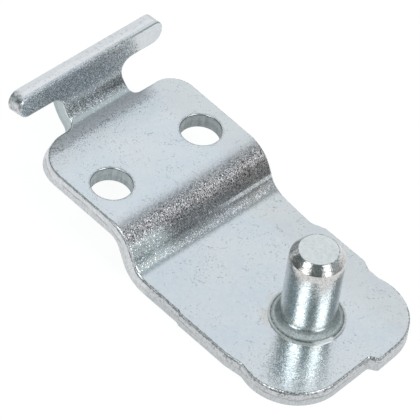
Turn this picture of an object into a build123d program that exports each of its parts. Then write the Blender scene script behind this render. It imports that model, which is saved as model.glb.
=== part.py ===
import os
from math import cos, degrees, radians, sin, tan

from build123d import *

# Door hinge of a built-in appliance: one bent sheet-metal bracket and one riveted hinge pin.
# Millimetres. The pin's axis is Z through the origin, the lower flat's underside is z = 0,
# and the pin's end of the bracket points along +X.

# Sheet
sheet = 2.5
plate_width = 27.0
right_side_taper = 0.7
edge_roll = 0.3

# Lower flat, which carries the pin. The blank parts from its strip at the step in the end.
# Each corner's two tangents meet outside the plate, so that the corners swell a little:
# run and swell are the long tangent's length and rise for each millimetre of the corner's radius
lower_flat_length = 18.75
pin_to_end = 10.85
parting_step = 1.2
parting_step_side = 2.4
parting_step_run = 0.9
step_rounding = 0.4
left_corner_straight = 5.7
left_corner_out = 1.25
left_corner_run = 1.423
left_corner_swell = 0.327
right_corner_straight = 5.4
right_corner_out = -0.25
right_corner_run = 1.185
right_corner_swell = 0.35

# Narrow lands and shallow reliefs that the blanking tool leaves along the lower flat's two edges
left_land_start = -11.7
left_land_height = 0.22
left_land_to_dip = 2.9
left_dip_depth = 0.2
right_land_start = -10.2
right_land_height = 0.3
right_land_to_dip = 1.7
right_dip_depth = 0.43
right_dip_run = 1.8
right_relief = (-12.4, 0.65)
right_relief_fade = (-17.5, 0.3)
right_relief_start = -19.7
land_run = 0.4
dip_rounding = 1.5
land_rounding = 0.6

# Joggle between the two flats
joggle_height = 5.8
joggle_angle = 60.0
joggle_bend_radius = 2.5

# Upper flat with its two fixing holes
upper_flat_length = 14.55
joggle_to_holes = 5.1
hole_to_side = 4.9
hole_diameter = 6.0
hole_rim_roll = 0.2

# Hook: the neck bends up out of the upper flat and ends in a bar, like a letter T
hook_bend_radius = 4.75
hook_angle = 81.0
left_shoulder_overrun = 1.8
right_shoulder_overrun = 1.4
left_shoulder_radius = 5.5
right_shoulder_radius = 3.6
neck_width = 11.0
neck_foot_radius = 1.4
left_arm_root_radius = 1.8
right_arm_root_radius = 2.4
arms_below_bend_end = 0.12
tee_height = 3.5
left_tee_radius = 1.7
right_tee_top_radius = 1.45
right_tee_bottom_radius = 2.0

# Hinge pin
pin_diameter = 8.0
pin_height = 13.6
pin_chamfer_width = 1.0
pin_chamfer_height = 1.4
pin_lead_width = 0.1
pin_lead_height = 1.2
collar_diameter = 11.0
collar_height = 0.2
pin_root_radius = 1.3
tenon_diameter = 6.5
rivet_head_diameter = 8.5
rivet_head_angle = 90.0

# Places along the length, all seen from the pin
half_width = plate_width / 2
hole_spacing = plate_width - 2 * hole_to_side
left_corner_radius = half_width - left_corner_straight
right_corner_radius = half_width - right_corner_straight
left_dip = pin_to_end + left_corner_out - left_corner_run * left_corner_radius
right_dip = pin_to_end + right_corner_out - right_corner_run * right_corner_radius
left_dip_side = half_width - left_dip_depth
right_dip_side = half_width - right_dip_depth
left_corner_side = left_dip_side + left_corner_swell * left_corner_radius
right_corner_side = right_dip_side + right_corner_swell * right_corner_radius
left_land_side = half_width + left_land_height
right_land_side = half_width + right_land_height
left_land_end = left_dip - left_land_to_dip
right_land_end = right_dip - right_dip_run - right_land_to_dip
upper_underside = joggle_height
upper_top = joggle_height + sheet
lower_virtual_corner = lower_flat_length + (joggle_bend_radius + sheet) * tan(radians(joggle_angle / 2))
upper_virtual_corner = lower_virtual_corner + joggle_height / tan(radians(joggle_angle))
upper_flat_start = upper_virtual_corner + joggle_bend_radius * tan(radians(joggle_angle / 2))
hole_row = upper_flat_start + joggle_to_holes
hook_start = upper_flat_start + upper_flat_length
hook_set_back = (hook_bend_radius + sheet) * tan(radians(hook_angle / 2))
hook_virtual_corner = hook_start + hook_set_back
hook_rise = hook_set_back + tee_height - arms_below_bend_end
hook_turn = radians(hook_angle)
arms_underside = hook_bend_radius * hook_turn - arms_below_bend_end
bar_top = arms_underside + tee_height
beyond = hook_rise + sheet
outline_end = hook_virtual_corner + beyond
right_end_side = half_width + (outline_end + right_relief_start) * tan(radians(right_side_taper))


def on_hook(along, across):
    """The middle of the sheet's thickness, at a length along the inner surface from the start of the hook's bend."""
    turn = min(along / hook_bend_radius, hook_turn)
    straight = along - turn * hook_bend_radius
    middle = hook_bend_radius + sheet / 2
    return Vector(
        -hook_start - middle * sin(turn) - straight * cos(turn),
        across,
        upper_top + hook_bend_radius - middle * cos(turn) + straight * sin(turn),
    )


# Bracket: the section of the bent sheet over the full width, then the outline cut from it
with BuildPart() as bracket_plate:
    with BuildSketch(Plane.XZ):
        with BuildLine():
            FilletPolyline(
                (pin_to_end + parting_step, 0),
                (-lower_virtual_corner, 0),
                (-upper_virtual_corner, upper_underside),
                (-hook_virtual_corner, upper_underside),
                (-hook_virtual_corner - hook_rise * cos(hook_turn), upper_underside + hook_rise * sin(hook_turn)),
                radius=(joggle_bend_radius + sheet, joggle_bend_radius, hook_bend_radius + sheet),
            )
            offset(amount=sheet, side=Side.RIGHT)
        make_face()
    extrude(amount=right_end_side, both=True)

    with BuildSketch(Plane.XY):
        with BuildLine():
            edge = FilletPolyline(
                (-outline_end, -half_width),
                (left_land_start, -half_width),
                (left_land_start + land_run, -left_land_side),
                (left_land_end, -left_land_side),
                (left_dip, -left_dip_side),
                (pin_to_end + left_corner_out, -left_corner_side),
                (pin_to_end, parting_step_side - parting_step_run),
                (pin_to_end + parting_step, parting_step_side),
                (pin_to_end + right_corner_out, right_corner_side),
                (right_dip, right_dip_side),
                (right_dip - right_dip_run, right_dip_side),
                (right_land_end, right_land_side),
                (right_land_start, right_land_side),
                (right_relief[0], half_width - right_relief[1]),
                (right_relief_fade[0], half_width - right_relief_fade[1]),
                (right_relief_start, half_width),
                (-outline_end, right_end_side),
                radius=(
                    land_run,
                    land_run,
                    land_rounding,
                    dip_rounding,
                    left_corner_radius,
                    step_rounding,
                    step_rounding,
                    right_corner_radius,
                    land_rounding,
                    land_rounding,
                    land_rounding,
                    land_rounding,
                    dip_rounding,
                    dip_rounding,
                    dip_rounding,
                ),
            )
            Line(edge @ 1, edge @ 0)
        make_face()
    extrude(amount=upper_top + beyond, both=True, mode=Mode.INTERSECT)

    # Notches between the shoulders and the bar, cut square to the sheet all along the bend
    bend_axis = Axis((-hook_start, 0, upper_top + hook_bend_radius), (0, 1, 0))
    for side, overrun in ((-1, left_shoulder_overrun), (1, right_shoulder_overrun)):
        turn = overrun / hook_bend_radius
        shoulder = Plane(
            origin=on_hook(overrun, side * neck_width / 2),
            x_dir=(0, side, 0),
            z_dir=(-cos(turn), 0, sin(turn)),
        )
        with BuildSketch(shoulder):
            Rectangle(plate_width, 2 * sheet, align=(Align.MIN, Align.CENTER))
        revolve(
            axis=bend_axis,
            revolution_arc=degrees((arms_underside - overrun) / hook_bend_radius),
            mode=Mode.SUBTRACT,
        )

    # Corners of the shoulders, the neck and the bar
    for along, across, radius in (
        (left_shoulder_overrun, -half_width, left_shoulder_radius),
        (right_shoulder_overrun, half_width, right_shoulder_radius),
        (left_shoulder_overrun, -neck_width / 2, neck_foot_radius),
        (right_shoulder_overrun, neck_width / 2, neck_foot_radius),
        (arms_underside, -neck_width / 2, left_arm_root_radius),
        (arms_underside, neck_width / 2, right_arm_root_radius),
        (arms_underside, -half_width, left_tee_radius),
        (bar_top, -half_width, left_tee_radius),
        (arms_underside, half_width, right_tee_bottom_radius),
        (bar_top, half_width, right_tee_top_radius),
    ):
        fillet(edges().sort_by_distance(on_hook(along, across))[0], radius)

    # Edge that blanking rolls over, all along the outline on the pin's side
    pin_side = edges().filter_by_position(Axis.Z, sheet - 0.01, sheet + 0.01)
    fillet(pin_side.sort_by(Axis.X)[-1], edge_roll)

    # Fixing holes
    with Locations((-hole_row, 0, upper_top)):
        with GridLocations(hole_spacing, hole_spacing, 1, 2):
            Hole(hole_diameter / 2, depth=sheet)
    rims = edges().filter_by(lambda rim: rim.geom_type == GeomType.CIRCLE and rim.radius == hole_diameter / 2)
    fillet(rims.group_by(Axis.Z)[-1], hole_rim_roll)

    # Riveting hole
    with Locations(Plane(origin=(0, 0, 0), z_dir=(0, 0, -1))):
        CounterSinkHole(tenon_diameter / 2, rivet_head_diameter / 2, sheet, rivet_head_angle)

bracket_plate.part.label = "bracket_plate"

# Hinge pin: shaft, collar on the plate, and a tenon spread flush into the plate's underside
pin_radius = pin_diameter / 2
pin_top = sheet + pin_height
collar_top = sheet + collar_height
head_depth = (rivet_head_diameter - tenon_diameter) / 2 / tan(radians(rivet_head_angle / 2))

with BuildPart() as hinge_pin:
    with BuildSketch(Plane.XZ):
        with BuildLine():
            foot = Polyline(
                (0, 0),
                (rivet_head_diameter / 2, 0),
                (tenon_diameter / 2, head_depth),
                (tenon_diameter / 2, sheet),
                (collar_diameter / 2, sheet),
                (collar_diameter / 2, collar_top),
                (pin_radius + pin_root_radius, collar_top),
            )
            root = RadiusArc(foot @ 1, (pin_radius, collar_top + pin_root_radius), pin_root_radius)
            lead_start = (pin_radius, pin_top - pin_chamfer_height - pin_lead_height)
            shaft = Line(root @ 1, lead_start)
            lead_end = (pin_radius - pin_lead_width, pin_top - pin_chamfer_height)
            lead = TangentArc(lead_start, lead_end, tangent=(0, 1))
            Polyline(lead @ 1, (pin_radius - pin_lead_width - pin_chamfer_width, pin_top), (0, pin_top), (0, 0))
        make_face()
    revolve(axis=Axis.Z)

hinge_pin.part.label = "hinge_pin"

os.makedirs("parts", exist_ok=True)
export_step(bracket_plate.part, "parts/bracket_plate.step")
export_step(hinge_pin.part, "parts/hinge_pin.step")
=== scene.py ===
from math import cos, pi, radians, sin

import bpy
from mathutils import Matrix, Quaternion, Vector

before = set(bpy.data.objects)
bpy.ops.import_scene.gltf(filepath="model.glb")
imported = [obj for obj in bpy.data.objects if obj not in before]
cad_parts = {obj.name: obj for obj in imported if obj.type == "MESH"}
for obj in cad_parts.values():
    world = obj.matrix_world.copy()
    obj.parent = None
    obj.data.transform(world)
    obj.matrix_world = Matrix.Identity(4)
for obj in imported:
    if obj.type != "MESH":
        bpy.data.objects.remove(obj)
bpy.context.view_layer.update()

# Camera: place, aim and clipping in metres, roll in degrees, lens and sensor in millimetres
CAMERA_PLACE = Vector((0.26142, -0.33181, 0.46468))
CAMERA_AIM = Vector((-0.02447, 0.00487, 0.0))
CAMERA_ROLL = 8.68
CAMERA_LENS = 387.3
CAMERA_SENSOR = 36.0
CAMERA_NEAR = 0.01
CAMERA_FAR = 20.0

# Softboxes: metres, degrees
LAMP_DISTANCE = 0.8
LAMP_ELEVATION = 38.0
LAMP_ROLL = -25.0
LAMP_HEIGHT = 0.68

# Floor: metres
FLOOR_HALF = 3.0
FLOOR_GAP = 0.0001

# Section of the bent sheet, in millimetres and degrees. A foot is where a slope meets the underside
SHEET = 2.5
JOGGLE_FOOT = -21.64
JOGGLE_HEIGHT = 5.8
JOGGLE_ANGLE = 60.0
HOOK_FOOT = -47.17
HOOK_ANGLE = 81.0
LOWER_BEND_SOFTNESS = 2.0
UPPER_BEND_SOFTNESS = 4.0
HOOK_BEND_SOFTNESS = 7.0

# Fixing holes, in millimetres
HOLE_ROW = -31.53
HOLE_SIDE = 8.6
HOLE_WALL_REACH = 4.0
HOLE_RIM = (3.08, 3.34)

# Along the length, in millimetres: where something starts and is whole, or starts and ends
WEAR_AND_GLINT_RISE = (0.0, 6.0)
LOWER_FLAT_SIDE = (-18.6, -17.8)
LOWER_FLAT_WEAR_AND_GLINT = (-18.6, -18.0)
POLISHED_HIGHLIT_FOOT = (-22.5, -19.9)
JOGGLE_SLOPE = (-23.0, -21.0)
CREASE_HIGHLIGHT = (-21.40, -21.12)
CREASE_SHADE = (-21.3, -21.1)
UPPER_FLAT = (-25.0, -27.5)
LEFT_SHOULDER = (-40.5, -38.5)
BAR_TOP = (-46.6, -47.0)

# Across the width, in millimetres
POLISHED_HIGHLIT_SIDE = (-4.5, -10.0)
SHADED_SLOPE_SIDE = (0.5, 8.5)
CREASE_HIGHLIGHT_SIDE = (1.0, 7.0)
CREASE_SHADE_SIDE = (2.5, -1.5)
DARKER_BAND_SIDE = (-0.5, 4.0)
STAINED_SIDE = (1.5, -3.5)
SHADED_WALL_SIDE = (-2.0, 2.0)
HOOK_LEFT_HALF = (0.0, -2.0)
HOOK_RIGHT_END = (6.2, 9.6)
HOOK_LEFT_END = (-7.5, -11.5)
NECK_REACH = (-8.0, -7.5)
BAR_LEFT_END = (-11.6, -12.6)
INSIDE_THE_SIDES = (12.6, 12.7)

# Along the hook, by height less length, in millimetres
TORN_LINE_FADE = (49.0, 50.5)
HOOK_BEND = (49.5, 50.5)
DARKER_BAND_ALONG = (53.7, 55.6)
BAR_LEFT = (55.5, 56.5)
PALE_ARM = (56.0, 57.0)

# Up from the sheet's underside, in millimetres
CHATTER_DEPTHS = (1.2, 2.1)
ROLLED_DEPTHS = (SHEET - 0.18, SHEET + 0.06)
THIN_ROLLED_DEPTHS = (SHEET - 0.02, SHEET + 0.07)
WORN_AND_GLINT_DEPTHS = (SHEET - 0.40, SHEET - 0.28)
TORN_DEPTH = 0.55
TORN_WANDER = 1.2
ROLLED_WANDER = 0.5

# Pin: heights, radii and a place on the collar, in millimetres
PIN_TOP = 16.1
PIN_FOOT = (SHEET + 1.3, SHEET + 0.75)
PIN_WARM_RISE = (PIN_TOP - 5.5, PIN_TOP - 1.8)
PIN_WARM_END = (PIN_TOP - 0.1, PIN_TOP - 1.45)
CHAMFER_START = (PIN_TOP - 1.5, PIN_TOP - 1.35)
TOP_RIM_START = (PIN_TOP - 0.12, PIN_TOP - 0.06)
TOP_START = (PIN_TOP - 0.05, PIN_TOP - 0.01)
TOP_RIM = (2.80, 2.93)
COLLAR_INNER_RING = (4.60, 4.85)
COLLAR_START = (4.95, 5.05)
COLLAR_DARK_RING = (5.02, 5.20)
COLLAR_PALE_RING = (5.20, 5.30)
STAIN_RADII = (5.4, 6.5)
GLINT_SPOT = (5.24, -1.66, 2.65)
GLINT_REACH = (1.9, 1.2)

# Along the joggle: place, tone of painted shade and highlight, and strength of the grain
JOGGLE_PROFILE = (
    (-26.6, 1.0, 0.0),
    (-25.3, 0.88, 0.15),
    (-24.6, 0.71, 0.4),
    (-23.8, 0.62, 0.8),
    (-23.2, 0.70, 1.0),
    (-22.8, 0.56, 1.0),
    (-22.3, 0.41, 0.8),
    (-21.8, 0.40, 0.5),
    (-21.2, 0.52, 0.35),
    (-20.6, 0.79, 0.4),
    (-20.1, 0.85, 0.25),
    (-19.65, 1.0, 0.1),
    (-19.2, 0.97, 0.0),
)

# Along the hook, by height less length: place, tone of painted shade and highlight, and strength of the
# grain
HOOK_PROFILE = (
    (45.0, 1.0, 0.0),
    (47.4, 0.93, 0.03),
    (48.6, 0.89, 0.08),
    (49.2, 0.73, 0.12),
    (49.7, 0.56, 0.13),
    (50.4, 0.49, 0.10),
    (51.0, 0.54, 0.06),
    (51.6, 0.76, 0.02),
    (51.95, 1.35, 0.0),
    (52.5, 1.55, 0.0),
    (52.85, 0.95, 0.1),
    (53.2, 0.64, 0.45),
    (54.3, 0.42, 0.65),
    (55.4, 0.54, 0.5),
    (56.2, 0.80, 0.3),
    (58.3, 0.70, 0.38),
    (60.5, 0.61, 0.38),
    (62.2, 0.80, 0.35),
)

# Linear colours of the sheet
BLACK = (0.0, 0.0, 0.0)
WHITE = (1.0, 1.0, 1.0)
PAINTED_GLINT = (0.98, 0.98, 0.98)
BLUE_ZINC = (0.615, 0.675, 0.73)
GREY_ZINC = (0.67, 0.715, 0.74)
PALE_ZINC = (0.70, 0.74, 0.77)
MARK = (0.20, 0.22, 0.23)
STAIN = (0.62, 0.58, 0.52)
PAINTED_HIGHLIGHT_TONE = (1.52, 1.55, 1.50)
CREASE_HIGHLIGHT_TONE = (1.15, 1.13, 1.13)
DARKER_BAND_TONE = (0.05, 0.05, 0.06)
HOOK_RIGHT_TONE = (0.98, 0.96, 0.94)
GRAIN_WARMTH = (1.09, 0.99, 0.96)
SIDE_DARK = (0.56, 0.585, 0.60)
SIDE_PALE = (0.74, 0.76, 0.77)
BAR_TOP_ZINC = (0.83, 0.84, 0.86)
SCUFF = (0.46, 0.46, 0.49)
LOWER_END_ZINC = (0.30, 0.32, 0.33)
TORN_LINE = (0.14, 0.15, 0.155)
CHATTER = (0.12, 0.13, 0.135)
NECK_SIDE_SHADE = (0.42, 0.49, 0.50)
ROLLED_EDGE_SHADE = (0.07, 0.075, 0.08)
SOOT = (0.10, 0.095, 0.095)
WALL_DARK = (0.235, 0.275, 0.285)
WALL_PALE = (0.405, 0.46, 0.475)
NICK_DARK = (0.20, 0.21, 0.22)
PAINTED_EDGE_GLINT = (0.97, 0.98, 0.98)
RIM_SHADE = (0.24, 0.23, 0.22)

# Linear colours of the pin
PIN_DARK = (0.61, 0.655, 0.665)
PIN_PALE = (0.77, 0.785, 0.78)
PIN_WARM = (0.62, 0.60, 0.585)
PIN_GRIT = (0.36, 0.41, 0.42)
CHAMFER_DUST = (0.40, 0.36, 0.33)
FOOT_SHADE_PALE = (0.44, 0.50, 0.51)
FOOT_SHADE_DARK = (0.22, 0.26, 0.26)
TOP_WORN = (0.50, 0.52, 0.54)
PIN_MARK = (0.10, 0.11, 0.11)
COLLAR_PALE = (0.78, 0.78, 0.76)

# Roughness of the sheet and the pin: one value, or the least and the most
ROUGH_FLAT = (0.13, 0.18)
ROUGH_BENT = (0.24, 0.40)
ROUGH_BURNISHED = 0.34
ROUGH_TORN = 0.5
ROUGH_MARK = 0.3
ROUGH_SHAFT = (0.10, 0.18)
ROUGH_DUST = 0.10
ROUGH_GRAIN = 0.12
ROUGH_FOOT = 0.55
ROUGH_TOP = 0.30

# Relief: how far the plating's crystals tilt, and how high bumps are in metres
FINE_TILT = (0.055, 0.21)
FINE_TILT_ON_BENDS = (0.6, 1.4)
COARSE_TILT = 0.03
COARSE_TILT_ON_BENDS = 0.45
ROUGH_TILT = 0.06
WAVY_TILT = 0.012
PIN_TILT = 0.065
TEAR_BUMP = 0.35
SHEET_BUMP_HEIGHT = 0.0001
SHEET_BUMP_STRENGTH = 0.5
PIN_BUMP_HEIGHT = 0.00002
PIN_BUMP_STRENGTH = 0.4

# Studio: directions seen from the object, and linear colours
BEHIND = (-0.595, 0.482, 0.643)
BESIDE = (0.60, 0.60, 0.53)
SKY_LOW = (0.14, 0.165, 0.17)
SKY_HIGH = (0.36, 0.42, 0.43)
SKY_BESIDE = (0.42, 0.46, 0.47)
SKY_BEHIND = (0.96, 0.985, 1.0)
FLOOR_MATT = (0.75, 0.75, 0.75)
FLOOR_FAINT = (0.17, 0.17, 0.17)
FLOOR_GLOW = 0.88


class Tree:
    """Short calls for building one node tree."""

    def __init__(self, tree):
        self.tree = tree
        self.tree.nodes.clear()

    def add(self, kind, inputs=None, **settings):
        node = self.tree.nodes.new(kind)
        for name, value in settings.items():
            setattr(node, name, value)
        for name, value in (inputs or {}).items():
            self.put(node.inputs[name], value)
        return node

    def put(self, socket, value):
        if isinstance(value, bpy.types.NodeSocket):
            self.tree.links.new(value, socket)
        elif socket.type == "RGBA":
            socket.default_value = (*value, 1.0)
        else:
            socket.default_value = value

    def calc(self, operation, *values):
        inputs = dict(enumerate(values))
        return self.add("ShaderNodeMath", inputs, operation=operation).outputs[0]

    def chain(self, operation, first, *others):
        for value in others:
            first = self.calc(operation, first, value)
        return first

    def plus(self, *values):
        return self.chain("ADD", *values)

    def times(self, *values):
        return self.chain("MULTIPLY", *values)

    def either(self, *masks):
        return self.chain("MAXIMUM", *masks)

    def inverse(self, mask):
        return self.calc("SUBTRACT", 1.0, mask)

    def vector(self, operation, *values):
        node = self.add("ShaderNodeVectorMath", operation=operation)
        for socket, value in zip(node.inputs, values):
            self.put(socket, value)
        return node.outputs["Value" if operation in ("DOT_PRODUCT", "LENGTH") else "Vector"]

    def scaled(self, vector, factor):
        node = self.add("ShaderNodeVectorMath", {"Vector": vector, "Scale": factor}, operation="SCALE")
        return node.outputs["Vector"]

    def squashed(self, vector, upright):
        """The vector with its upright part made smaller, so that what is drawn with it runs upright."""
        return self.vector("MULTIPLY", vector, (1.0, 1.0, upright))

    def centred(self, random_vector):
        return self.vector("SUBTRACT", random_vector, (0.5, 0.5, 0.5))

    def tilted(self, normal, *tilts):
        """The normal with each random vector added, as much as its strength says."""
        for random_vector, strength in tilts:
            normal = self.vector("ADD", normal, self.scaled(self.centred(random_vector), strength))
        return self.vector("NORMALIZE", normal)

    def step(self, value, low, high, low_out=0.0, high_out=1.0):
        inputs = {"Value": value, "From Min": low, "From Max": high, "To Min": low_out, "To Max": high_out}
        return self.add("ShaderNodeMapRange", inputs, interpolation_type="SMOOTHSTEP").outputs["Result"]

    def window(self, value, start, end, soft):
        rise = self.step(value, start - soft, start + soft)
        fall = self.step(value, end - soft, end + soft, 1.0, 0.0)
        return self.times(rise, fall)

    def profile(self, value, stops):
        """Two values along a line of stops: the tone, and the strength of the grain."""
        low, high = stops[0][0], stops[-1][0]
        along = self.add("ShaderNodeMapRange", {"Value": value, "From Min": low, "From Max": high})
        ramp = self.add("ShaderNodeValToRGB", {"Fac": along.outputs["Result"]})
        elements = ramp.color_ramp.elements
        elements[1].position = 1.0
        for number, (stop, tone, strength) in enumerate(stops):
            inner = 0 < number < len(stops) - 1
            element = elements.new((stop - low) / (high - low)) if inner else elements[-1 if number else 0]
            element.color = (tone, tone, tone, strength)
        return ramp.outputs["Color"], ramp.outputs["Alpha"]

    def noise(self, place, scale, detail=2.0, roughness=0.5, output="Fac"):
        inputs = {"Vector": place, "Scale": scale, "Detail": detail, "Roughness": roughness}
        return self.add("ShaderNodeTexNoise", inputs).outputs[output]

    def cells(self, place, scale):
        return self.add("ShaderNodeTexVoronoi", {"Vector": place, "Scale": scale}).outputs["Color"]

    def cracks(self, place, scale):
        inputs = {"Vector": place, "Scale": scale}
        return self.add("ShaderNodeTexVoronoi", inputs, feature="DISTANCE_TO_EDGE").outputs["Distance"]

    def mix(self, factor, first, second):
        node = self.add("ShaderNodeMix", data_type="RGBA")
        self.put(node.inputs["Factor"], factor)
        self.put(node.inputs[6], first)
        self.put(node.inputs[7], second)
        return node.outputs[2]

    def paint(self, colour, coat, *amounts):
        """The colour with a coat of another over it, by the product of the amounts."""
        return self.mix(self.times(*amounts), colour, coat)

    def blend(self, factor, first, second):
        node = self.add("ShaderNodeMix", data_type="FLOAT")
        self.put(node.inputs["Factor"], factor)
        self.put(node.inputs[2], first)
        self.put(node.inputs[3], second)
        return node.outputs[0]

    def bump(self, height, normal, distance, strength):
        inputs = {"Strength": strength, "Distance": distance, "Height": height, "Normal": normal}
        return self.add("ShaderNodeBump", inputs).outputs[0]

    def millimetres(self):
        return self.scaled(self.add("ShaderNodeTexCoord").outputs["Object"], 1000.0)

    def parts(self, vector):
        return self.add("ShaderNodeSeparateXYZ", {"Vector": vector}).outputs

    def normal(self):
        return self.add("ShaderNodeNewGeometry").outputs["Normal"]


def new_material(name):
    material = bpy.data.materials.new(name)
    material.use_nodes = True
    return material, Tree(material.node_tree)


class SheetZinc:
    """Bright zinc on blanked and bent steel sheet. Lengths are millimetres."""

    def __init__(self):
        self.material, self.t = new_material("zinc_plated_sheet_detail")
        t = self.t
        self.place = t.millimetres()
        self.seen_from_above = t.squashed(self.place, 0.0)
        self.x, self.y, self.z = t.parts(self.place)[:3]
        self.normal = t.normal()
        self.normal_y, self.normal_z = t.parts(self.normal)[1:3]
        self.along_hook = t.calc("SUBTRACT", self.z, self.x)
        self.mottle = t.noise(self.place, 1.4, 4.0, 0.6)
        self.wander = t.noise(self.place, 0.5, 2.0, 0.5, "Color")
        self.fine_cells = t.cells(self.place, 9.0)
        self.coarse_cells = t.cells(self.place, 6.0)
        fine, coarse = t.parts(self.fine_cells)[0], t.parts(self.coarse_cells)[1]
        self.speck = t.plus(t.times(fine, 0.5), t.times(coarse, 0.5))
        self.measure_depth()
        self.find_sides()
        self.tear_sides()
        self.mark_flats()
        self.paint_bend_shading_and_grain()
        colour = self.worn(t.mix(self.side, self.grained(self.flats()), self.sides()))
        inputs = {
            "Base Color": colour,
            "Metallic": 1.0,
            "Roughness": self.roughness(),
            "Normal": self.relief(),
        }
        shader = t.add("ShaderNodeBsdfPrincipled", inputs)
        t.add("ShaderNodeOutputMaterial", {"Surface": shader.outputs[0]})

    def measure_depth(self):
        """How far up from the sheet's underside, square to it all along the bent section."""
        t = self.t
        slope = radians(JOGGLE_ANGLE)
        from_foot = t.calc("SUBTRACT", self.x, JOGGLE_FOOT)
        joggle = t.plus(t.times(from_foot, sin(slope)), t.times(self.z, cos(slope)))
        upper = t.calc("SUBTRACT", self.z, JOGGLE_HEIGHT)
        slope = radians(HOOK_ANGLE)
        from_foot = t.calc("SUBTRACT", self.x, HOOK_FOOT)
        hook = t.plus(t.times(from_foot, sin(slope)), t.times(upper, cos(slope)))
        depth = t.calc("SMOOTH_MIN", self.z, joggle, LOWER_BEND_SOFTNESS)
        depth = t.calc("SMOOTH_MAX", depth, upper, UPPER_BEND_SOFTNESS)
        self.depth = t.calc("SMOOTH_MIN", depth, hook, HOOK_BEND_SOFTNESS)

    def find_sides(self):
        """Masks of the blanked sides and the hole walls."""
        t = self.t
        upright = t.step(t.calc("ABSOLUTE", self.normal_z), 0.55, 0.8, 1.0, 0.0)
        self.sideways = t.step(t.calc("ABSOLUTE", self.normal_y), 0.45, 0.75)
        self.lower_end = t.times(upright, t.step(self.x, *LOWER_FLAT_SIDE))
        self.bar_top = t.times(t.step(self.normal_z, 0.7, 0.85), t.step(self.x, *BAR_TOP))
        row = t.window(self.x, HOLE_ROW - HOLE_WALL_REACH, HOLE_ROW + HOLE_WALL_REACH, 0.1)
        inside = t.step(t.calc("ABSOLUTE", self.y), *INSIDE_THE_SIDES, 1.0, 0.0)
        self.holes = t.times(row, upright, inside)
        self.side = t.either(self.sideways, self.lower_end, self.bar_top, self.holes)
        self.faces = t.inverse(self.side)

    def tear_sides(self):
        """Fine tearing of the blanked sides, and the wandering line below which they are torn."""
        t = self.t
        self.tear = t.noise(t.squashed(self.place, 0.35), 4.5, 3.0, 0.6)
        torn_edge = t.plus(t.times(t.noise(self.place, 0.35, 2.0), TORN_WANDER), TORN_DEPTH)
        below = t.calc("SUBTRACT", torn_edge, self.depth)
        self.torn = t.step(below, -0.1, 0.1)
        self.torn_line = t.times(
            t.step(t.calc("ABSOLUTE", below), 0.04, 0.15, 1.0, 0.0),
            t.step(t.noise(self.place, 0.22, 2.0), 0.46, 0.62, 0.0, 0.5),
            t.step(self.along_hook, *TORN_LINE_FADE, 1.0, 0.1),
        )

    def mark_flats(self):
        """Hair scratches, and pits in clusters."""
        t = self.t
        cracks = t.cracks(t.vector("ADD", self.place, t.scaled(self.wander, 3.0)), 0.55)
        here_and_there = t.step(t.noise(self.place, 0.9, 2.0), 0.57, 0.66)
        scratches = t.times(t.step(cracks, 0.005, 0.02, 1.0, 0.0), here_and_there)
        clusters = t.step(t.noise(self.place, 0.3, 2.0), 0.42, 0.66, 0.18, 0.8)
        pits = t.times(t.step(t.noise(self.place, 3.8, 2.0, 0.6), 0.635, 0.70), clusters)
        self.marks = t.either(t.times(scratches, 0.30), t.times(pits, 0.52))

    def paint_bend_shading_and_grain(self):
        """Painted shade and highlights along the bends, as a tone, and how strongly the plating's grain
        stands out.
        """
        t, x, y = self.t, self.x, self.y
        # The joggle's tone is painted shade, darkest in the bend, with painted highlights; its grain
        # strength is the plating's own
        joggle_tone, joggle_grain = t.profile(x, JOGGLE_PROFILE)
        polished_highlit = t.times(t.window(x, *POLISHED_HIGHLIT_FOOT, 0.45), t.step(y, *POLISHED_HIGHLIT_SIDE))
        shaded_slope = t.times(t.window(x, *JOGGLE_SLOPE, 0.4), t.step(y, *SHADED_SLOPE_SIDE))
        crease_highlight = t.times(t.window(x, *CREASE_HIGHLIGHT, 0.06), t.step(y, *CREASE_HIGHLIGHT_SIDE))
        crease_shade = t.times(t.window(x, *CREASE_SHADE, 0.07), t.step(y, *CREASE_SHADE_SIDE))
        # Painted highlight: the joggle's foot is lit brighter on the half towards -y, where its grain is
        # also calmer
        joggle_tone = t.paint(joggle_tone, PAINTED_HIGHLIGHT_TONE, polished_highlit, 0.95)
        # Painted shade: the joggle's slope is darker on the half towards +y
        joggle_tone = t.paint(joggle_tone, BLACK, shaded_slope, 0.34)
        # Painted highlight: a light line across the joggle where its lower bend ends
        joggle_tone = t.paint(joggle_tone, CREASE_HIGHLIGHT_TONE, crease_highlight)
        # Painted shade: a dark line in the crease of the joggle's lower bend
        joggle_tone = t.paint(joggle_tone, BLACK, crease_shade, 0.22)
        calm = t.either(t.times(polished_highlit, 0.7), crease_highlight)
        self.joggle_grain = t.times(joggle_grain, t.inverse(calm))

        # The hook's tone is painted shade through its bend, with a painted highlight line on the neck; its
        # grain strength is the plating's own
        hook_tone, hook_grain = t.profile(self.along_hook, HOOK_PROFILE)
        darker_band = t.times(t.window(self.along_hook, *DARKER_BAND_ALONG, 0.3), t.step(y, *DARKER_BAND_SIDE))
        right_end = t.step(y, *HOOK_RIGHT_END)
        left_end = t.times(t.step(y, *HOOK_LEFT_END), t.step(self.along_hook, *PALE_ARM))
        # A darker band across the half of the hook's bend towards +y
        hook_tone = t.paint(hook_tone, DARKER_BAND_TONE, darker_band, 0.46)
        # The painted shade fades out on the hook's right end and is lighter on the bar's left arm
        hook_tone = t.paint(hook_tone, HOOK_RIGHT_TONE, right_end)
        hook_tone = t.paint(hook_tone, WHITE, left_end, 0.55)
        hook_grain = t.times(hook_grain, t.inverse(t.times(right_end, 0.85)))

        self.tone = t.vector("MULTIPLY", joggle_tone, hook_tone)
        self.grain_strength = t.times(t.plus(self.joggle_grain, hook_grain), self.faces)

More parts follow.
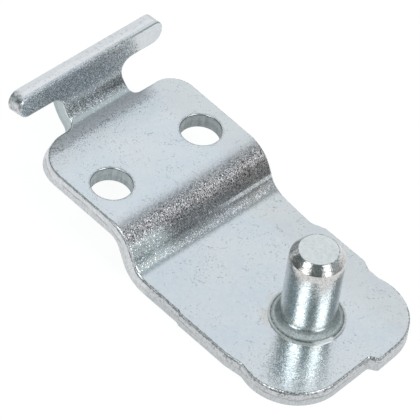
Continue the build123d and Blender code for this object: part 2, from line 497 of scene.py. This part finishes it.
    def flats(self):
        """Colour of the flats, with cloudy plating, marks, and a stain beside the collar."""
        t = self.t
        colour = t.mix(t.step(t.noise(self.place, 0.16, 3.0), 0.3, 0.7), BLUE_ZINC, GREY_ZINC)
        colour = t.paint(colour, PALE_ZINC, t.step(self.mottle, 0.35, 0.75, 0.0, 0.5))
        colour = t.paint(colour, MARK, self.marks)
        around_collar = t.window(t.vector("LENGTH", self.seen_from_above), *STAIN_RADII, 0.5)
        cloudy = t.step(t.noise(self.place, 0.5, 2.0), 0.38, 0.6)
        return t.paint(colour, STAIN, around_collar, cloudy, t.step(self.y, *STAINED_SIDE), 0.5)

    def grained(self, colour):
        """The colour with the bends' painted shade and highlights and their coarse and fine grains over
        it.
        """
        t = self.t
        contrast = t.times(t.calc("SUBTRACT", self.speck, 0.5), self.grain_strength, 3.0)
        tone = t.scaled(self.tone, t.either(t.plus(1.0, contrast), 0.05))
        tone = t.paint(tone, t.vector("MULTIPLY", tone, GRAIN_WARMTH), self.joggle_grain, 1.2)
        return t.vector("MULTIPLY", colour, t.mix(self.faces, WHITE, tone))

    def sides(self):
        """Colour of the sides: burnished above, torn below, with a painted dark line of shade where the
        skin rolls over, and painted shade with a painted glint on the neck's side.
        """
        t, x, y, place = self.t, self.x, self.y, self.place
        colour = t.mix(t.step(self.tear, 0.3, 0.7), SIDE_DARK, SIDE_PALE)
        colour = t.paint(colour, BAR_TOP_ZINC, self.bar_top, 0.75)
        scuffs = t.step(t.noise(place, 1.5, 4.0, 0.75), 0.50, 0.66)
        colour = t.paint(colour, SCUFF, self.bar_top, scuffs, 0.4)
        colour = t.paint(colour, LOWER_END_ZINC, self.lower_end, 0.22)
        colour = t.paint(colour, TORN_LINE, self.torn_line)
        chatter = t.times(self.lower_end, t.window(self.depth, *CHATTER_DEPTHS, 0.2))
        chatter = t.times(chatter, t.step(t.noise(place, 2.6, 3.0, 0.75), 0.52, 0.62))
        colour = t.paint(colour, CHATTER, chatter, 0.6)

        jagged = t.plus(self.depth, t.times(t.noise(place, 2.6, 3.0, 0.7), ROLLED_WANDER))
        thick = t.window(jagged, *ROLLED_DEPTHS, 0.07)
        thin = t.window(jagged, *THIN_ROLLED_DEPTHS, 0.05)
        broken = t.step(t.noise(place, 1.3, 2.0), 0.36, 0.54, 0.35, 0.85)
        rolled = t.times(t.blend(t.step(x, *UPPER_FLAT), thick, thin), broken)
        hook_left = t.times(t.step(self.along_hook, *HOOK_BEND), t.step(y, *HOOK_LEFT_HALF))
        neck_side = t.times(hook_left, self.sideways, t.step(y, *NECK_REACH))
        # Painted shade on the neck's left side, and a painted glint along its rolled top edge
        colour = t.paint(colour, NECK_SIDE_SHADE, neck_side, 0.8)
        colour = t.paint(colour, PAINTED_GLINT, neck_side, rolled)
        past_shoulder = t.step(x, *LEFT_SHOULDER, 0.2, 1.0)
        # Painted shade: a dark broken line along the rolled top edge of the sides, left out on the hook's
        # left half
        colour = t.paint(colour, ROLLED_EDGE_SHADE, rolled, t.inverse(hook_left), past_shoulder)

        bar_end = t.times(t.step(self.along_hook, *BAR_LEFT), t.step(y, *BAR_LEFT_END))
        sooty = t.step(t.noise(place, 1.9, 3.0, 0.7), 0.47, 0.60)
        colour = t.paint(colour, SOOT, bar_end, sooty, 0.62)
        # The hole walls are dark as painted shade inside the holes, streaked as the walls are, and painted
        # darker towards +y
        streaks = t.noise(t.squashed(place, 0.15), 1.8, 4.0, 0.65)
        wall = t.mix(t.step(streaks, 0.25, 0.75), WALL_DARK, WALL_PALE)
        wall = t.scaled(wall, t.step(y, *SHADED_WALL_SIDE, 1.0, 0.8))
        return t.paint(colour, wall, self.holes, 0.9)

    def worn(self, colour):
        """The colour with worn edges in dark marks and painted glints in bright ones, and with painted
        shade along the rims of the holes.
        """
        t = self.t
        edge_speckle = t.step(t.noise(self.place, 3.0, 3.0, 0.7), 0.44, 0.56)
        level = t.inverse(t.calc("POWER", self.normal_y, 2.0))
        over_the_end = t.times(t.window(self.normal_z, 0.30, 0.93, 0.05), t.step(self.x, *LOWER_FLAT_WEAR_AND_GLINT))
        turned_over = t.either(over_the_end, t.window(level, 0.60, 0.97, 0.04))
        edge = t.times(turned_over, t.step(self.depth, *WORN_AND_GLINT_DEPTHS), t.inverse(self.holes))
        wear_and_glint = t.step(self.x, *WEAR_AND_GLINT_RISE, 0.38, 0.65)
        # Along the turned-over edges the dark marks are worn marks and the bright ones are painted glints
        colour = t.paint(colour, t.mix(edge_speckle, NICK_DARK, PAINTED_EDGE_GLINT), edge, wear_and_glint)
        either_hole = t.vector("ABSOLUTE", self.seen_from_above)
        from_hole = t.vector("LENGTH", t.vector("SUBTRACT", either_hole, (-HOLE_ROW, HOLE_SIDE, 0.0)))
        rim = t.times(t.window(from_hole, *HOLE_RIM, 0.07), t.step(self.normal_z, 0.9, 0.97))
        # Painted shade: a broken dark line on the top face round each hole's rim
        return t.paint(colour, RIM_SHADE, rim, edge_speckle, 0.55)

    def roughness(self):
        t = self.t
        bent = t.times(t.step(self.grain_strength, 0.02, 0.3), self.faces)
        rough = t.step(self.mottle, 0.3, 0.8, *ROUGH_FLAT)
        rough = t.blend(bent, rough, t.step(self.speck, 0.2, 0.8, *ROUGH_BENT))
        rough = t.blend(self.side, rough, t.blend(self.torn, ROUGH_BURNISHED, ROUGH_TORN))
        return t.plus(rough, t.times(self.marks, ROUGH_MARK))

    def relief(self):
        """Crystals of the plating tilt the surface, most of all where it is bent."""
        t = self.t
        chance = t.parts(self.fine_cells)[2]
        on_bends = t.times(self.grain_strength, t.step(chance, 0.84, 0.88, *FINE_TILT_ON_BENDS))
        normal = t.tilted(
            self.normal,
            (self.fine_cells, t.plus(on_bends, t.step(chance, 0.83, 0.87, *FINE_TILT))),
            (self.coarse_cells, t.plus(t.times(self.grain_strength, COARSE_TILT_ON_BENDS), COARSE_TILT)),
            (t.noise(self.place, 6.0, 2.0, 0.6, "Color"), ROUGH_TILT),
            (self.wander, WAVY_TILT),
        )
        height = t.calc("SUBTRACT", t.times(self.tear, self.side, TEAR_BUMP), self.marks)
        return t.bump(height, normal, SHEET_BUMP_HEIGHT, SHEET_BUMP_STRENGTH)


class PinZinc:
    """Bright zinc on a turned steel pin. Lengths are millimetres."""

    def __init__(self):
        self.material, self.t = new_material("zinc_plated_pin_detail")
        t = self.t
        self.place = t.millimetres()
        self.z = t.parts(self.place)[2]
        self.radius = t.vector("LENGTH", t.squashed(self.place, 0.0))
        self.grit = t.noise(self.place, 4.5, 3.0, 0.7)
        self.foot = t.step(self.z, *PIN_FOOT)
        self.top = t.step(self.z, *TOP_START)
        self.chamfer = t.calc("SUBTRACT", t.step(self.z, *CHAMFER_START), self.top)
        self.dusty = t.times(self.chamfer, t.step(self.grit, 0.40, 0.60))
        inputs = {
            "Base Color": self.ringed(self.shaft()),
            "Metallic": 1.0,
            "Roughness": self.roughness(),
            "Anisotropic": 0.5,
            "Tangent": t.add("ShaderNodeTangent", direction_type="RADIAL", axis="Z").outputs[0],
            "Normal": self.relief(),
        }
        shader = t.add("ShaderNodeBsdfPrincipled", inputs)
        t.add("ShaderNodeOutputMaterial", {"Surface": shader.outputs[0]})

    def shaft(self):
        """Colour of the shaft, warmer towards its dusty chamfer, and of the worn top and the rougher foot,
        which is darkened with painted shade.
        """
        t, grit = self.t, self.grit
        colour = t.mix(t.noise(self.place, 0.6, 3.0), PIN_DARK, PIN_PALE)
        rising = t.step(self.z, *PIN_WARM_RISE, 0.0, 0.75)
        colour = t.paint(colour, PIN_WARM, rising, t.step(self.z, *PIN_WARM_END))
        colour = t.paint(colour, PIN_GRIT, t.step(grit, 0.50, 0.68, 0.0, 0.38))
        colour = t.paint(colour, CHAMFER_DUST, self.dusty, 0.5)
        specks = t.step(t.parts(t.cells(self.place, 6.0))[0], 0.15, 0.75, 0.82, 1.06)
        colour = t.mix(self.top, t.scaled(colour, specks), t.scaled(colour, 1.06))
        # Painted shade in the fillet where the pin meets the plate, mottled by grit
        colour = t.paint(colour, t.mix(t.step(grit, 0.4, 0.6), FOOT_SHADE_PALE, FOOT_SHADE_DARK), self.foot, 0.8)
        worn = t.step(t.noise(self.place, 1.3, 4.0, 0.7), 0.40, 0.62)
        return t.paint(colour, TOP_WORN, self.top, worn, 0.28)

    def ringed(self, colour):
        """The colour with the rim of the top, the rings of the collar and a painted glint on it."""
        t, radius, grit = self.t, self.radius, self.grit
        near_top = t.step(self.z, *TOP_RIM_START)
        rim = t.times(t.window(radius, *TOP_RIM, 0.05), near_top)
        dark_ring = t.times(t.window(radius, *COLLAR_DARK_RING, 0.06), self.foot)
        wobble = t.step(t.noise(self.place, 2.2, 3.0, 0.7), 0.35, 0.55)
        colour = t.paint(colour, PIN_MARK, t.either(rim, dark_ring), wobble, 0.8)
        pale_ring = t.times(t.step(radius, *COLLAR_PALE_RING), t.step(grit, 0.42, 0.52))
        inner_ring = t.times(t.window(radius, *COLLAR_INNER_RING, 0.06), t.step(grit, 0.48, 0.56))
        colour = t.paint(colour, COLLAR_PALE, t.either(pale_ring, inner_ring), self.foot, 0.85)
        from_glint = t.vector("LENGTH", t.vector("SUBTRACT", self.place, GLINT_SPOT))
        # Painted highlight: a white glint on the collar's outer edge
        return t.paint(colour, PAINTED_GLINT, t.step(from_glint, *GLINT_REACH), t.step(radius, *COLLAR_START))

    def roughness(self):
        t = self.t
        rough = t.step(t.noise(self.place, 1.6, 3.0), 0.3, 0.8, *ROUGH_SHAFT)
        dull_grains = t.step(t.parts(t.cells(self.place, 4.2))[1], 0.55, 0.80, 0.0, ROUGH_GRAIN)
        dull_grains = t.times(dull_grains, t.inverse(self.chamfer))
        rough = t.plus(rough, t.times(self.dusty, ROUGH_DUST), dull_grains)
        rough = t.blend(self.foot, rough, ROUGH_FOOT)
        return t.blend(self.top, rough, ROUGH_TOP)

    def relief(self):
        """Turning marks that run round the pin, fine roughness, and tilted crystals."""
        t = self.t
        rings = t.noise(t.vector("MULTIPLY", self.place, (0.0, 0.0, 1.0)), 9.0, 3.0, 0.6)
        height = t.plus(rings, t.times(t.noise(self.place, 4.5, 3.0, 0.6), 1.8))
        normal = t.tilted(t.normal(), (t.cells(self.place, 5.5), PIN_TILT))
        return t.bump(height, normal, PIN_BUMP_HEIGHT, PIN_BUMP_STRENGTH)


def link(new_object):
    bpy.context.scene.collection.objects.link(new_object)


def rolled_by(angle):
    return Quaternion((0, 0, 1), radians(angle))


def lay_floor():
    """A floor that shows white, keeps the object's shadow, and is matt grey to light that bounces."""
    corners = [(-FLOOR_HALF, -FLOOR_HALF, 0), (FLOOR_HALF, -FLOOR_HALF, 0)]
    corners += [(FLOOR_HALF, FLOOR_HALF, 0), (-FLOOR_HALF, FLOOR_HALF, 0)]
    mesh = bpy.data.meshes.new("floor")
    mesh.from_pydata(corners, [], [(0, 1, 2, 3)])
    material, t = new_material("white_floor")
    ray = t.add("ShaderNodeLightPath").outputs
    shown = t.either(ray["Is Camera Ray"], ray["Is Glossy Ray"], ray["Is Transmission Ray"])
    matt = t.add("ShaderNodeBsdfDiffuse", {"Color": FLOOR_MATT})
    faint = t.add("ShaderNodeBsdfDiffuse", {"Color": FLOOR_FAINT})
    glow = t.add("ShaderNodeEmission", {"Color": WHITE, "Strength": FLOOR_GLOW})
    white = t.add("ShaderNodeAddShader", {0: faint.outputs[0], 1: glow.outputs[0]})
    look = t.add("ShaderNodeMixShader", {0: shown, 1: matt.outputs[0], 2: white.outputs[0]})
    t.add("ShaderNodeOutputMaterial", {"Surface": look.outputs[0]})
    mesh.materials.append(material)
    floor = bpy.data.objects.new("floor", mesh)
    floor.location.z = -FLOOR_GAP
    link(floor)
    return floor


def light_world():
    """A pale studio behind the object, darker towards the camera."""
    world = bpy.data.worlds.new("studio")
    world.use_nodes = True
    bpy.context.scene.world = world
    t = Tree(world.node_tree)
    direction = t.add("ShaderNodeTexCoord").outputs["Generated"]
    behind = t.vector("DOT_PRODUCT", direction, Vector(BEHIND).normalized()[:])
    beside = t.vector("DOT_PRODUCT", direction, Vector(BESIDE).normalized()[:])
    sky = t.mix(t.step(t.parts(direction)[2], 0.30, 0.75), SKY_LOW, SKY_HIGH)
    sky = t.paint(sky, SKY_BESIDE, t.step(beside, 0.45, 0.95))
    sky = t.paint(sky, SKY_BEHIND, t.step(behind, 0.60, 0.92))
    background = t.add("ShaderNodeBackground", {"Color": sky, "Strength": 1.0})
    t.add("ShaderNodeOutputWorld", {"Surface": background.outputs[0]})


def hang_softbox(name, azimuth, width, radiance):
    """An area lamp that faces the origin. Its radiance is what a mirror would show of it."""
    lamp = bpy.data.lights.new(name, "AREA")
    lamp.shape = "RECTANGLE"
    lamp.size = width
    lamp.size_y = LAMP_HEIGHT
    lamp.energy = radiance * pi * width * LAMP_HEIGHT
    around, up = radians(azimuth), radians(LAMP_ELEVATION)
    direction = Vector((cos(around) * cos(up), sin(around) * cos(up), sin(up)))
    softbox = bpy.data.objects.new(name, lamp)
    softbox.location = direction * LAMP_DISTANCE
    softbox.rotation_mode = "QUATERNION"
    softbox.rotation_quaternion = direction.to_track_quat("Z", "Y") @ rolled_by(LAMP_ROLL)
    link(softbox)


def set_camera():
    data = bpy.data.cameras.new("camera")
    data.sensor_width = CAMERA_SENSOR
    data.lens = CAMERA_LENS
    data.clip_start = CAMERA_NEAR
    data.clip_end = CAMERA_FAR
    camera = bpy.data.objects.new("camera", data)
    camera.location = CAMERA_PLACE
    camera.rotation_mode = "QUATERNION"
    level = (CAMERA_AIM - CAMERA_PLACE).to_track_quat("-Z", "Y")
    camera.rotation_quaternion = level @ rolled_by(CAMERA_ROLL)
    link(camera)
    bpy.context.scene.camera = camera


# The two nodes keep their meshes and take the detailed materials
for node, zinc in (("bracket_plate", SheetZinc()), ("hinge_pin", PinZinc())):
    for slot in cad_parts[node].material_slots:
        slot.material = zinc.material

# Studio
floor = lay_floor()
light_world()
hang_softbox("left_softbox", azimuth=-85.0, width=0.36, radiance=2.7)
hang_softbox("right_softbox", azimuth=4.0, width=0.38, radiance=2.4)
set_camera()
bpy.context.scene.view_settings.view_transform = "Standard"
